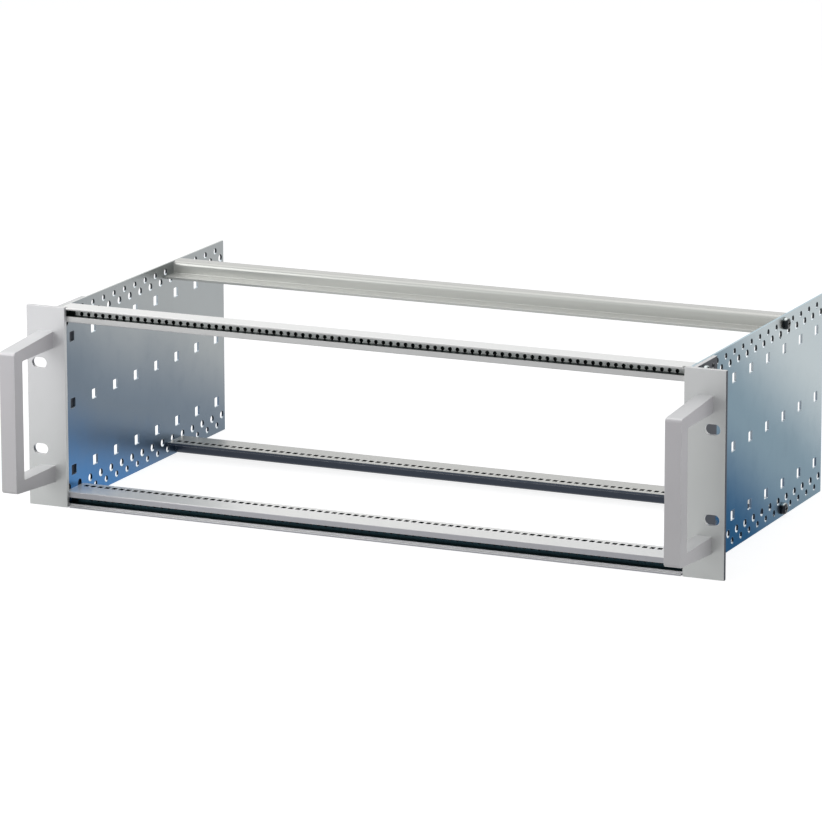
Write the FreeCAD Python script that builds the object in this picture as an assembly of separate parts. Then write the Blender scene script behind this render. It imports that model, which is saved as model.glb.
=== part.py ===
import FreeCAD, Part
import math
import os

# Subrack card cage for 19-inch racks: 3 height units, 84 width units.
# Millimetres, +X to the right seen from the front, +Y to the rear, +Z up.
# The origin is the centre of the four rack slots, on the rear face of the flanges.
# An inset is measured from the cage's top or bottom face towards the middle.

# Rack interface
rack_width = 482.6
rack_height = 132.55
slot_margin = 8.75
slot_spacing_z = 57.15
slot_length = 10.3
slot_width = 6.8
width_unit = 5.08
side_unit_count = 11

# Rack flanges
flange_width = 27.6
flange_thickness = 3.0
flange_leg_depth = 35.0
flange_root_radius = 1.2
leg_hole_count = 2

# Side panels
panel_margin = 24.8
panel_thickness = 1.5
panel_depth = 235.0
hole_pitch = 15.0
screw_hole_width = 4.3
screw_hole_margin = 12.5
screw_hole_inset = 5.4
locating_hole_width = 5.2
locating_hole_margin = 5.0
locating_hole_inset = 11.4
cutout_width = 6.5
cutout_pitch = 30.0
cutout_inset = 22.0

# Rails
rail_inset = 10.05
plate_thickness = 1.75
lip_reach = 3.0
lip_thickness = 1.35
lip_end_clearance = 1.2
front_wall_end = 12.0
front_boss_end = 15.7
front_plate_end = 25.0
front_guide_y = 18.7
rear_seat_y = 169.93
rear_boss_end = 159.3
rear_plate_end = 147.3
rear_guide_y = 153.6
rear_screw_hole_count = 10
core_width = 4.0
boss_radius = 3.2
guide_slot_width = 3.2
guide_slot_depth = 4.0

# Threaded strips
strip_height = 6.0
strip_thickness = 2.5
strip_end_gap = 6.2
strip_inset = 5.025
strip_clearance = 0.15
front_strip_y = 6.0
rear_strip_wall = 1.5
passage_width = 3.1
thread_radius = 1.25

# Handles
handle_height = 100.0
handle_reach = 53.0
handle_width = 11.0
handle_taper = 3.6
handle_leg = 11.1
handle_corner_radius = 2.5
handle_inner_radius = 1.0
handle_screw_spacing = 88.9
handle_hole_depth = 16.0

# Screws
shank_width = 3.9
head_width = 8.0
head_height = 3.1
screw_length = 12.0
front_screw_length = 16.0
sunk_head_width = 7.8
sunk_head_height = 1.95
sunk_clearance = 0.2

# Flats of the square cut-outs, and those that stand for a small round form
cutout_flat_count = 4
hole_flat_count = 6
shank_flat_count = 8
head_flat_count = 10

# Places that follow from the sizes
half_height = rack_height / 2
flange_outer = rack_width / 2
flange_inner = flange_outer - flange_width
slot_x = flange_outer - slot_margin
panel_inner = flange_outer - panel_margin
panel_outer = panel_inner + panel_thickness
leg_outer = panel_outer + flange_thickness
strip_end = panel_inner - strip_end_gap
unit_count = round(rack_width / width_unit) - side_unit_count
flange_middle = (flange_inner + flange_outer) / 2
front_screw_y = screw_hole_margin
rear_screw_y = screw_hole_margin + rear_screw_hole_count * hole_pitch
plate_inset = rail_inset - plate_thickness
passage_near = strip_inset - passage_width / 2
passage_far = strip_inset + passage_width / 2
channel_near = strip_inset - strip_height / 2 - strip_clearance
channel_far = strip_inset + strip_height / 2 + strip_clearance
channel_depth = strip_thickness + strip_clearance
rear_strip_y = rear_seat_y - rear_strip_wall - strip_thickness
sides = {"left": -1, "right": 1}
levels = {"top": 1, "bottom": -1}


def height_at(inset, level):
    """Z of a place that lies inset from the top face (level 1) or the bottom face (level -1)."""
    return level * (half_height - inset)


def outline(corners):
    """Closed wire in the XY plane through (x, y, radius) corners, each rounded by its radius."""
    points = [FreeCAD.Vector(x, y, 0) for x, y, radius in corners]
    count = len(corners)
    edges = []
    ends = []
    for i in range(count):
        here = points[i]
        before = (points[i - 1] - here).normalize()
        after = (points[(i + 1) % count] - here).normalize()
        radius = corners[i][2]
        half_angle = before.getAngle(after) / 2
        setback = radius / math.tan(half_angle)
        start = here + before * setback
        end = here + after * setback
        if radius > 0:
            bisector = (before + after).normalize()
            middle = here + bisector * (radius / math.sin(half_angle) - radius)
            edges.append(Part.Arc(start, middle, end).toShape())
        ends.append((start, end))
    for i in range(count):
        edges.append(Part.LineSegment(ends[i - 1][1], ends[i][0]).toShape())
    return Part.Wire(Part.sortEdges(edges)[0])


def polygon_points(x, y, width, flats):
    """Corners of a regular outline with the given width across its flats, standing on one of them."""
    radius = width / 2 / math.cos(math.pi / flats)
    turns = [2 * math.pi * (k + 0.5) / flats - math.pi / 2 for k in range(flats)]
    return [(x + radius * math.cos(turn), y + radius * math.sin(turn)) for turn in turns]


def polygon(x, y, width, flats):
    return outline([(px, py, 0) for px, py in polygon_points(x, y, width, flats)])


def along_x(wires, start, end):
    """Solid between two X places, from wires whose plane holds Y and Z."""
    solid = Part.Face(wires).extrude(FreeCAD.Vector(0, 0, end - start))
    solid.rotate(FreeCAD.Vector(0, 0, 0), FreeCAD.Vector(1, 1, 1), 120)
    solid.translate(FreeCAD.Vector(start, 0, 0))
    return solid


def along_z(wire, start, end):
    """Solid between two Z places, from a wire whose plane holds X and Y."""
    solid = Part.Face(wire).extrude(FreeCAD.Vector(0, 0, end - start))
    solid.translate(FreeCAD.Vector(0, 0, start))
    return solid


def flat_face(points):
    return Part.Face(Part.makePolygon(points + points[:1]))


def spindle_along_y(x, z, stations):
    """Solid of flats through (y, width) stations in the order of growing Y."""
    rings = [[FreeCAD.Vector(px, y, pz) for px, pz in polygon_points(x, z, width, shank_flat_count)]
             for y, width in stations]
    faces = [flat_face(rings[0]), flat_face(rings[-1])]
    for near, far in zip(rings, rings[1:]):
        faces += [flat_face([near[k - 1], near[k], far[k], far[k - 1]]) for k in range(shank_flat_count)]
    return Part.Solid(Part.Shell(faces))


def on_side(shape, side):
    """The right-hand shape as it is, or its mirror image for the left."""
    if side > 0:
        return shape
    return shape.mirror(FreeCAD.Vector(0, 0, 0), FreeCAD.Vector(1, 0, 0))


def row(margin, pitch, length):
    """Places from one margin to the other at the pitch."""
    count = int((length - 2 * margin) / pitch + 0.001) + 1
    return [margin + k * pitch for k in range(count)]


def unit_middles():
    """X of the middle of each width unit."""
    return [(k + 0.5 - unit_count / 2) * width_unit for k in range(unit_count)]


def side_panel(side):
    """Flat sheet with two rows of screw holes, two of locating holes and three of square cut-outs."""
    wires = [outline([(0, -half_height, 0), (panel_depth, -half_height, 0),
                      (panel_depth, half_height, 0), (0, half_height, 0)])]
    for level in levels.values():
        for y in row(screw_hole_margin, hole_pitch, panel_depth):
            z = height_at(screw_hole_inset, level)
            wires.append(polygon(y, z, screw_hole_width, hole_flat_count))
        for y in row(locating_hole_margin, hole_pitch, panel_depth):
            z = height_at(locating_hole_inset, level)
            wires.append(polygon(y, z, locating_hole_width, hole_flat_count))
    for z in (height_at(cutout_inset, 1), 0, height_at(cutout_inset, -1)):
        for y in row(screw_hole_margin, cutout_pitch, panel_depth):
            wires.append(polygon(y, z, cutout_width, cutout_flat_count))
    return on_side(along_x(wires, panel_inner, panel_outer), side)


def rack_slot(z):
    """Cutter for a rack slot, long in X, through the flange plate."""
    start = -2 * flange_thickness
    depth = 3 * flange_thickness
    reach = (slot_length - slot_width) / 2
    ends = [Part.makeCylinder(slot_width / 2, depth, FreeCAD.Vector(slot_x + side * reach, start, z),
                              FreeCAD.Vector(0, 1, 0))
            for side in sides.values()]
    block = Part.makeBox(2 * reach, depth, slot_width,
                         FreeCAD.Vector(slot_x - reach, start, z - slot_width / 2))
    return block.fuse(ends).removeSplitter()


def countersink(z):
    """Cutter for a handle screw: a clearance hole that widens to the rear face of the flange."""
    return spindle_along_y(flange_middle, z, [(-2 * flange_thickness, screw_hole_width),
                                              (-sunk_head_height, screw_hole_width),
                                              (0, sunk_head_width + sunk_clearance)])


def leg_hole(y, level):
    """Cutter for a hole through the flange leg, in line with a screw hole of the side panel."""
    wire = polygon(y, height_at(screw_hole_inset, level), screw_hole_width, hole_flat_count)
    return along_x(wire, panel_inner, leg_outer + flange_thickness)


def rack_flange(side):
    """Angle section: a slotted front plate, and a leg on the outside of the side panel."""
    section = outline([(flange_inner, -flange_thickness, 0), (flange_outer, -flange_thickness, 0),
                       (flange_outer, 0, 0), (leg_outer, 0, flange_root_radius),
                       (leg_outer, flange_leg_depth, 0), (panel_outer, flange_leg_depth, 0),
                       (panel_outer, 0, 0), (flange_inner, 0, 0)])
    cutters = []
    for level in levels.values():
        cutters.append(rack_slot(level * slot_spacing_z / 2))
        cutters.append(countersink(level * handle_screw_spacing / 2))
        cutters += [leg_hole(front_screw_y + k * hole_pitch, level) for k in range(leg_hole_count)]
    return on_side(along_z(section, -half_height, half_height).cut(cutters), side)


def handle(side):
    """Bow handle: a straight grip on two legs that taper towards it, each with a screw hole."""
    base = -flange_thickness
    front = base - handle_reach
    grip = front + handle_width
    top = handle_height / 2
    front_top = top - handle_taper
    inside = top - handle_leg
    section = outline([(base, top, 0), (front, front_top, handle_corner_radius),
                       (front, -front_top, handle_corner_radius), (base, -top, 0),
                       (base, -inside, 0), (grip, -inside, handle_inner_radius),
                       (grip, inside, handle_inner_radius), (base, inside, 0)])
    solid = along_x(section, flange_middle - handle_width / 2, flange_middle + handle_width / 2)
    holes = [spindle_along_y(flange_middle, level * handle_screw_spacing / 2,
                             [(base - handle_hole_depth, core_width), (base, core_width)])
             for level in levels.values()]
    return on_side(solid.cut(holes), side)


def guide_slots(middle_y, level):
    """Cutters for the slots that hold the ends of the card guides."""
    x_reach = guide_slot_width / 2
    corner_y = middle_y - guide_slot_depth / 2
    middle_z = height_at(rail_inset - plate_thickness / 2, level)
    return [Part.makeBox(guide_slot_width, guide_slot_depth, 2 * plate_thickness,
                         FreeCAD.Vector(x - x_reach, corner_y, middle_z - plate_thickness))
            for x in unit_middles()]


def rail(corners, screw_y, guide_y, level, cutters=()):
    """Rail from (y, inset, radius) corners, with a screw core and, at the bottom, guide slots."""
    section = outline([(y, height_at(inset, level), radius) for y, inset, radius in corners])
    core = polygon(screw_y, height_at(screw_hole_inset, level), core_width, shank_flat_count)
    solid = along_x([section, core], -panel_inner, panel_inner)
    if cutters:
        solid = solid.cut(cutters)
    if level == levels["bottom"]:
        solid = solid.cut(guide_slots(guide_y, level))
    return solid


def front_rail(level):
    """Front rail: seat for front panels, a long lip beyond it and a channel for the strip."""
    back = front_strip_y + channel_depth
    boss = screw_hole_inset - boss_radius
    corners = [(-lip_reach, 0, lip_thickness / 3), (front_wall_end, 0, 0), (front_wall_end, boss, 0),
               (front_boss_end, boss, boss_radius), (front_boss_end, plate_inset, 0),
               (front_plate_end, plate_inset, 0), (front_plate_end, rail_inset, 0),
               (0, rail_inset, 0), (0, passage_far, 0),
               (front_strip_y, passage_far, 0), (front_strip_y, channel_far, 0),
               (back, channel_far, 0), (back, channel_near, 0), (front_strip_y, channel_near, 0),
               (front_strip_y, passage_near, 0), (0, passage_near, 0), (0, lip_thickness, 0),
               (-lip_reach, lip_thickness, lip_thickness / 3)]
    lip_end = flange_inner - lip_end_clearance
    relief = Part.makeBox(flange_outer - lip_end, 2 * lip_reach, 2 * rack_height,
                          FreeCAD.Vector(lip_end, -2 * lip_reach, -rack_height))
    reliefs = [on_side(relief, side) for side in sides.values()]
    return rail(corners, front_screw_y, front_guide_y, level, reliefs)


def rear_rail(level):
    """Rear rail: seat for connectors, with a channel for the strip right inside it."""
    inside = rear_seat_y - rear_strip_wall
    channel_front = inside - channel_depth
    corners = [(rear_boss_end, 0, boss_radius), (rear_seat_y, 0, 0), (rear_seat_y, passage_near, 0),
               (inside, passage_near, 0), (inside, channel_near, 0),
               (channel_front, channel_near, 0), (channel_front, channel_far, 0),
               (inside, channel_far, 0), (inside, passage_far, 0), (rear_seat_y, passage_far, 0),
               (rear_seat_y, rail_inset, 0), (rear_plate_end, rail_inset, 0),
               (rear_plate_end, plate_inset, 0), (rear_boss_end, plate_inset, 0)]
    return rail(corners, rear_screw_y, rear_guide_y, level)


def threaded_strip(front_y, level, thread_places):
    """Bar with threads at the given X places."""
    z = height_at(strip_inset, level)
    bar = Part.makeBox(2 * strip_end, strip_thickness, strip_height,
                       FreeCAD.Vector(-strip_end, front_y, z - strip_height / 2))
    holes = [Part.makeCylinder(thread_radius, strip_thickness, FreeCAD.Vector(x, front_y, z),
                               FreeCAD.Vector(0, 1, 0))
             for x in thread_places]
    return bar.cut(holes) if holes else bar


def rail_screws(seat_x, y, length, side):
    """The two pan head screws at the ends of the top and bottom rail, heads outward."""
    screws = []
    for level in levels.values():
        z = height_at(screw_hole_inset, level)
        shank = along_x(polygon(y, z, shank_width, shank_flat_count), seat_x - length, seat_x)
        head = along_x(polygon(y, z, head_width, head_flat_count), seat_x, seat_x + head_height)
        screws.append(shank.fuse(head).removeSplitter())
    return on_side(Part.makeCompound(screws), side)


def handle_screws(side):
    """The two countersunk screws of one handle, flush with the rear face of the flange."""
    screws = [spindle_along_y(flange_middle, level * handle_screw_spacing / 2,
                              [(-screw_length, shank_width), (-sunk_head_height, shank_width),
                               (0, sunk_head_width)])
              for level in levels.values()]
    return on_side(Part.makeCompound(screws), side)


def build():
    """All pieces by node name."""
    pieces = {}
    for name, side in sides.items():
        pieces["side_panel_" + name] = side_panel(side)
        pieces["rack_flange_" + name] = rack_flange(side)
        pieces["handle_" + name] = handle(side)
        pieces["handle_screws_" + name] = handle_screws(side)
        pieces["rail_screws_front_" + name] = rail_screws(leg_outer, front_screw_y,
                                                          front_screw_length, side)
        pieces["rail_screws_rear_" + name] = rail_screws(panel_outer, rear_screw_y,
                                                         screw_length, side)
    panel_threads = [unit_middles()[1], unit_middles()[-2]]
    for name, level in levels.items():
        pieces["front_rail_" + name] = front_rail(level)
        pieces["rear_rail_" + name] = rear_rail(level)
        pieces["threaded_strip_front_" + name] = threaded_strip(front_strip_y, level, panel_threads)
        pieces["threaded_strip_rear_" + name] = threaded_strip(rear_strip_y, level, [])
    return pieces


os.makedirs("parts", exist_ok=True)
for node, shape in build().items():
    shape.exportStep("parts/" + node + ".step")
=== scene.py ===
"""Dressed model of an open subrack card cage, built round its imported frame.

Lengths inside the classes are in millimetres, and every finished mesh is scaled to metres.
+X is to the right seen from the front, +Y to the rear and +Z up.
"""

import logging
import math
from collections.abc import Iterable, Sequence
from dataclasses import dataclass
from enum import Enum

import bmesh
import bpy
from mathutils import Matrix, Vector


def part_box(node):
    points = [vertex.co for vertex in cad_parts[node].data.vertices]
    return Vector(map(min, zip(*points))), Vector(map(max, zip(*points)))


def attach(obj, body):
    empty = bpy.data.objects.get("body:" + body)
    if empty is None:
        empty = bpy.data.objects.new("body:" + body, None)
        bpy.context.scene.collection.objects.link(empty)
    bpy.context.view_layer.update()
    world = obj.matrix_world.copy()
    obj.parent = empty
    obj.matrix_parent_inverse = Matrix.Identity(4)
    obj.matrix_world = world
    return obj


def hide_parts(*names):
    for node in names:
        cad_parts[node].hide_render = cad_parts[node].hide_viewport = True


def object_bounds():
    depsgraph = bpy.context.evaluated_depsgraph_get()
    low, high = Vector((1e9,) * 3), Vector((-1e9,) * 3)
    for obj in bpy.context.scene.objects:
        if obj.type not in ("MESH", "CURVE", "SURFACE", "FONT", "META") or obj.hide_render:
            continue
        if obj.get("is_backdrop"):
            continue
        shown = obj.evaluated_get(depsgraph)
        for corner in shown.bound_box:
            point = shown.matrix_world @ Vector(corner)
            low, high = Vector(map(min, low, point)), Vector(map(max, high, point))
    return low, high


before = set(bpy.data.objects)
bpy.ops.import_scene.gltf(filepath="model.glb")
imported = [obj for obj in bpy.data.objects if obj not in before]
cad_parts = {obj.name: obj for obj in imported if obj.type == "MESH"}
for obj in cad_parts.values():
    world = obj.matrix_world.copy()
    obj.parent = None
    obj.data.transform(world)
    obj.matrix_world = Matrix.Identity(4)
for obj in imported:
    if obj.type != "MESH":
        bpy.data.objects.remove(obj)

MM = 0.001
BODY = "root"
SMOOTH_BELOW = math.radians(35)
BEVEL_ABOVE = math.radians(50)
MEAN_MARKS = 0.4
MEAN_GRAIN = 0.5
BUMP_DISTANCE = 0.0001
WEAR_AND_HIGHLIGHT_RADIUS = 0.0006
log = logging.getLogger("card_cage")

Point = tuple[float, float]
Corner = tuple[float, float, float]
Loop = list[Point]
Colour = tuple[float, float, float]


class Place(Enum):
    """A half of the cage, whose word is part of the pieces' names."""

    @property
    def word(self) -> str:
        """The name in small letters."""
        return self.name.lower()


class Side(Place):
    """Left or right half of the cage, as the sign of its X."""

    LEFT = -1
    RIGHT = 1


class Level(Place):
    """Top or bottom of the cage, as the sign of its Z."""

    TOP = 1
    BOTTOM = -1


class Axis(Enum):
    """The axis that a prism or lathe runs along, as its index."""

    X = 0
    Y = 1
    Z = 2

    def place(self, along: float, u: float, v: float) -> Vector:
        """Point along the axis, with u and v on the other two axes in X, Y, Z order."""
        if self is Axis.X:
            return Vector((along, u, v))
        if self is Axis.Y:
            return Vector((u, along, v))
        return Vector((u, v, along))


def linked(name: str, data: bpy.types.ID) -> bpy.types.Object:
    """New object in the scene."""
    obj = bpy.data.objects.new(name, data)
    bpy.context.scene.collection.objects.link(obj)
    return obj


def rounded(corners: Sequence[Corner], step: float = 0.26) -> Loop:
    """Closed loop through corners that are each rounded by a radius.

    Args:
        corners: (u, v, radius) of each corner, in order.
        step: largest turn between two points of an arc, in radians.

    Returns:
        The points of the loop.
    """
    points: Loop = []
    count = len(corners)
    for i, (u, v, radius) in enumerate(corners):
        if radius <= 0:
            points.append((u, v))
            continue
        here = Vector((u, v))
        before = (Vector(corners[i - 1][:2]) - here).normalized()
        after = (Vector(corners[(i + 1) % count][:2]) - here).normalized()
        half = before.angle(after) / 2
        centre = here + (before + after).normalized() * (radius / math.sin(half))
        start = here + before * (radius / math.tan(half)) - centre
        end = here + after * (radius / math.tan(half)) - centre
        turn = math.atan2(start.x * end.y - start.y * end.x, start.dot(end))
        steps = max(2, math.ceil(abs(turn) / step))
        for k in range(steps + 1):
            spoke = Matrix.Rotation(turn * k / steps, 2) @ start
            points.append((centre.x + spoke.x, centre.y + spoke.y))
    return points


def circle(u: float, v: float, radius: float, count: int = 28) -> Loop:
    """Closed round loop."""
    turns = [2 * math.pi * k / count for k in range(count)]
    return [(u + radius * math.cos(t), v + radius * math.sin(t)) for t in turns]


def rectangle(u: float, v: float, width: float, height: float, radius: float = 0.0) -> Loop:
    """Closed rectangle round its middle, with rounded corners."""
    a, b = width / 2, height / 2
    return rounded([(u - a, v - b, radius), (u + a, v - b, radius),
                    (u + a, v + b, radius), (u - a, v + b, radius)])


class Shape:
    """A closed mesh under construction, in millimetres."""

    def __init__(self) -> None:
        """Start with no faces."""
        self.bm = bmesh.new()

    def prism(self, loop: Loop, axis: Axis, start: float, end: float) -> "Shape":
        """Add the solid that a loop sweeps along an axis.

        Args:
            loop: closed outline on the two other axes, in X, Y, Z order.
            axis: direction of the sweep.
            start: place of the first end.
            end: place of the other end.

        Returns:
            This shape.
        """
        near = [self.bm.verts.new(axis.place(start, u, v)) for u, v in loop]
        far = [self.bm.verts.new(axis.place(end, u, v)) for u, v in loop]
        faces = [self.bm.faces.new(near), self.bm.faces.new(far[::-1])]
        for k in range(len(loop)):
            faces.append(self.bm.faces.new((near[k - 1], far[k - 1], far[k], near[k])))
        bmesh.ops.recalc_face_normals(self.bm, faces=faces)
        return self

    def lathe(self, profile: Loop, axis: Axis, centre: Point, count: int = 32) -> "Shape":
        """Add the solid that a profile sweeps round an axis.

        Args:
            profile: (along, radius) points from one end to the other, radius 0 at both ends.
            axis: the axis of rotation.
            centre: where the axis passes, on the two other axes in X, Y, Z order.
            count: number of steps round.

        Returns:
            This shape.
        """
        rings = []
        for along, radius in profile:
            if radius == 0:
                rings.append([self.bm.verts.new(axis.place(along, *centre))])
                continue
            rings.append([self.bm.verts.new(axis.place(along, u, v))
                          for u, v in circle(*centre, radius, count)])
        faces = []
        for low, high in zip(rings, rings[1:]):
            for k in range(count):
                ring = [low[k - 1 if len(low) > 1 else 0], low[k if len(low) > 1 else 0],
                        high[k if len(high) > 1 else 0], high[k - 1 if len(high) > 1 else 0]]
                faces.append(self.bm.faces.new(list(dict.fromkeys(ring))))
        bmesh.ops.recalc_face_normals(self.bm, faces=faces)
        return self

    def as_object(self) -> bpy.types.Object:
        """A scratch object that holds a copy of the mesh, with a place for each finish."""
        mesh = bpy.data.meshes.new("scratch")
        self.bm.to_mesh(mesh)
        for _ in range(3):
            mesh.materials.append(None)
        return linked("scratch", mesh)

    def as_shaded_walls(self) -> "Shape":
        """Give all faces the finish of hole walls, a painted dark shade."""
        for face in self.bm.faces:
            face.material_index = 1
        return self

    def cut(self, tool: "Shape") -> "Shape":
        """Take another shape away from this one, with an exact boolean."""
        body, cutter = self.as_object(), tool.as_object()
        modifier = body.modifiers.new("cut", "BOOLEAN")
        modifier.operation = "DIFFERENCE"
        modifier.solver = "EXACT"
        modifier.material_mode = "INDEX"
        modifier.object = cutter
        self.take(body)
        for obj in (body, cutter):
            bpy.data.objects.remove(obj)
        return self

    def take(self, obj: bpy.types.Object) -> None:
        """Hold what an object looks like with its modifiers."""
        graph = bpy.context.evaluated_depsgraph_get()
        mesh = bpy.data.meshes.new_from_object(obj.evaluated_get(graph))
        self.bm.clear()
        self.bm.from_mesh(mesh)
        bmesh.ops.remove_doubles(self.bm, verts=self.bm.verts, dist=0.0005)
        bpy.data.meshes.remove(mesh)

    def round_edges(self, width: float, ahead_of: float = math.inf) -> "Shape":
        """Round every sharp edge that reaches ahead of a place on Y."""
        edges = [edge for edge in self.bm.edges
                 if edge.is_manifold and edge.calc_face_angle(0.0) > BEVEL_ABOVE
                 and min(vert.co.y for vert in edge.verts) < ahead_of]
        bmesh.ops.bevel(self.bm, geom=edges, offset=width, segments=2, profile=0.5,
                        affect="EDGES", clamp_overlap=False)
        return self

    def mirrored(self, side: Side) -> "Shape":
        """Leave the right-hand shape as it is, or mirror it for the left."""
        if side is Side.LEFT:
            bmesh.ops.scale(self.bm, vec=(-1, 1, 1), verts=self.bm.verts)
            bmesh.ops.reverse_faces(self.bm, faces=self.bm.faces)
        return self

    def piece(self, name: str, finishes: Sequence["Finish"], *nodes: str) -> bpy.types.Object:
        """Turn the shape into a dressed piece of the cage.

        Args:
            name: name of the piece.
            finishes: what its surface is, and then what each further material index is.
            nodes: the CAD nodes that it stands for.

        Returns:
            The new object.
        """
        bmesh.ops.scale(self.bm, vec=(MM, MM, MM), verts=self.bm.verts)
        mesh = bpy.data.meshes.new(name)
        self.bm.to_mesh(mesh)
        self.bm.free()
        mesh.shade_smooth()
        mesh.set_sharp_from_angle(angle=SMOOTH_BELOW)
        for finish in finishes:
            mesh.materials.append(finish.material())
        obj = linked(name, mesh)
        even = obj.modifiers.new("even_normals", "WEIGHTED_NORMAL")
        even.keep_sharp = True
        even.weight = 100
        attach(obj, BODY)
        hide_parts(*nodes)
        log.info("%s: %d faces for %s", name, len(mesh.polygons), ", ".join(nodes))
        return obj


def punched_sheet(outline: Loop, holes: Sequence[Loop], thickness: float, edge: float) -> Shape:
    """Flat sheet with holes and softly broken edges, whose hole walls have finish 1.

    Args:
        outline: outer loop.
        holes: inner loops.
        thickness: thickness of the sheet, split evenly about height 0.
        edge: radius of the broken edges.

    Returns:
        The sheet, lying in the XY plane.
    """
    curve = bpy.data.curves.new("scratch", "CURVE")
    curve.dimensions = "2D"
    curve.fill_mode = "BOTH"
    curve.extrude = thickness / 2 - edge
    curve.bevel_depth = edge
    curve.bevel_resolution = 1
    curve.offset = -edge
    for loop in (outline, *holes):
        spline = curve.splines.new("POLY")
        spline.points.add(len(loop) - 1)
        for point, (u, v) in zip(spline.points, loop):
            point.co = (u, v, 0, 1)
        spline.use_cyclic_u = True
    obj = linked("scratch", curve)
    shape = Shape()
    shape.take(obj)
    bpy.data.objects.remove(obj)
    bpy.data.curves.remove(curve)
    low, high = (Vector(pick(axis) for axis in zip(*outline)) for pick in (min, max))
    # Hole walls get finish 1, which paints shade inside the holes.
    for face in shape.bm.faces:
        spot = face.calc_center_median().xy
        inside = all(low[k] + 4 * edge < spot[k] < high[k] - 4 * edge for k in (0, 1))
        if inside and abs(face.normal.z) < 0.5:
            face.material_index = 1
    return shape


class Wiring:
    """Adds nodes to a tree and links them in short lines."""

    def __init__(self, tree: bpy.types.NodeTree) -> None:
        """Work in the given tree."""
        self.tree = tree

    def add(self, kind: str, **settings: object) -> bpy.types.Node:
        """New node of a kind, with its settings."""
        node = self.tree.nodes.new(kind)
        for key, value in settings.items():
            setattr(node, key, value)
        return node

    def feed(self, socket: bpy.types.NodeSocket, value: object) -> None:
        """Link a socket to another one, or set its value."""
        if isinstance(value, bpy.types.NodeSocket):
            self.tree.links.new(value, socket)
        else:
            socket.default_value = value

    def maths(self, operation: str, first: object, second: object = 0.0) -> bpy.types.NodeSocket:
        """Output of a Math node."""
        node = self.add("ShaderNodeMath", operation=operation)
        self.feed(node.inputs[0], first)
        self.feed(node.inputs[1], second)
        return node.outputs[0]

    def ramp(self, value: object, low: float, high: float, first: float = 0.0,
             last: float = 1.0) -> bpy.types.NodeSocket:
        """Smooth step of a value from one range to another."""
        node = self.add("ShaderNodeMapRange", interpolation_type="SMOOTHSTEP")
        self.feed(node.inputs["Value"], value)
        ends = {"From Min": low, "From Max": high, "To Min": first, "To Max": last}
        for key, number in ends.items():
            node.inputs[key].default_value = number
        return node.outputs["Result"]

    def mix(self, factor: object, first: object, second: object) -> bpy.types.NodeSocket:
        """Blend of two colours."""
        node = self.add("ShaderNodeMix", data_type="RGBA")
        self.feed(node.inputs["Factor"], factor)
        self.feed(node.inputs["A"], first)
        self.feed(node.inputs["B"], second)
        return node.outputs["Result"]

    def noise(self, vector: object, scale: object, detail: float = 3.0) -> bpy.types.NodeSocket:
        """Value of a noise texture."""
        node = self.add("ShaderNodeTexNoise")
        self.feed(node.inputs["Vector"], vector)
        self.feed(node.inputs["Scale"], scale)
        node.inputs["Detail"].default_value = detail
        return node.outputs["Fac"]


def rgba(colour: Colour) -> tuple[float, float, float, float]:
    """A colour with full alpha."""
    return (*colour, 1.0)


class Effect(Enum):
    """The surface effects that several finishes share, each one node group."""

    DRAWN_GRAIN = "drawn_grain"
    HANDLING_MARKS = "handling_marks"
    EDGE_WEAR = "edge_wear"

    def tree(self) -> bpy.types.NodeTree:
        """The effect's node group, built at its first use."""
        found = bpy.data.node_groups.get(self.value)
        if found:
            return found
        group = bpy.data.node_groups.new(self.value, "ShaderNodeTree")
        builders = {
            Effect.DRAWN_GRAIN: drawn_grain,
            Effect.HANDLING_MARKS: handling_marks,
            Effect.EDGE_WEAR: edge_wear,
        }
        builders[self](group)
        return group


def sockets(group: bpy.types.NodeTree, inputs: dict[str, float], outputs: Iterable[str],
            ) -> tuple[bpy.types.Node, bpy.types.Node]:
    """Name a group's inputs and outputs.

    Args:
        group: the node group.
        inputs: name and default of each number that goes in.
        outputs: name of each number that comes out.

    Returns:
        The group's input node and output node.
    """
    for name, default in inputs.items():
        socket = group.interface.new_socket(name=name, in_out="INPUT",
                                            socket_type="NodeSocketFloat")
        socket.default_value = default
    for name in outputs:
        group.interface.new_socket(name=name, in_out="OUTPUT", socket_type="NodeSocketFloat")
    return group.nodes.new("NodeGroupInput"), group.nodes.new("NodeGroupOutput")


def drawn_grain(group: bpy.types.NodeTree) -> None:
    """Fine lines along X, Y or Z, as rolling, drawing or brushing leaves them.

    Args:
        group: tree to fill. Its inputs stretch the noise along each axis.
    """
    wiring = Wiring(group)
    first, last = sockets(group, {"X": 1.0, "Y": 1.0, "Z": 1.0}, ("Grain",))
    place = wiring.add("ShaderNodeTexCoord")
    stretch = wiring.add("ShaderNodeCombineXYZ")
    for key in "XYZ":
        wiring.feed(stretch.inputs[key], first.outputs[key])
    scaled = wiring.add("ShaderNodeVectorMath", operation="MULTIPLY")
    wiring.feed(scaled.inputs[0], place.outputs["Object"])
    wiring.feed(scaled.inputs[1], stretch.outputs[0])
    fine = wiring.noise(scaled.outputs[0], 1.0, 2.0)
    coarse = wiring.noise(scaled.outputs[0], 0.23, 2.0)
    total = wiring.maths("ADD", wiring.maths("MULTIPLY", fine, 0.6),
                         wiring.maths("MULTIPLY", coarse, 0.4))
    wiring.feed(last.inputs["Grain"], total)


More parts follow.
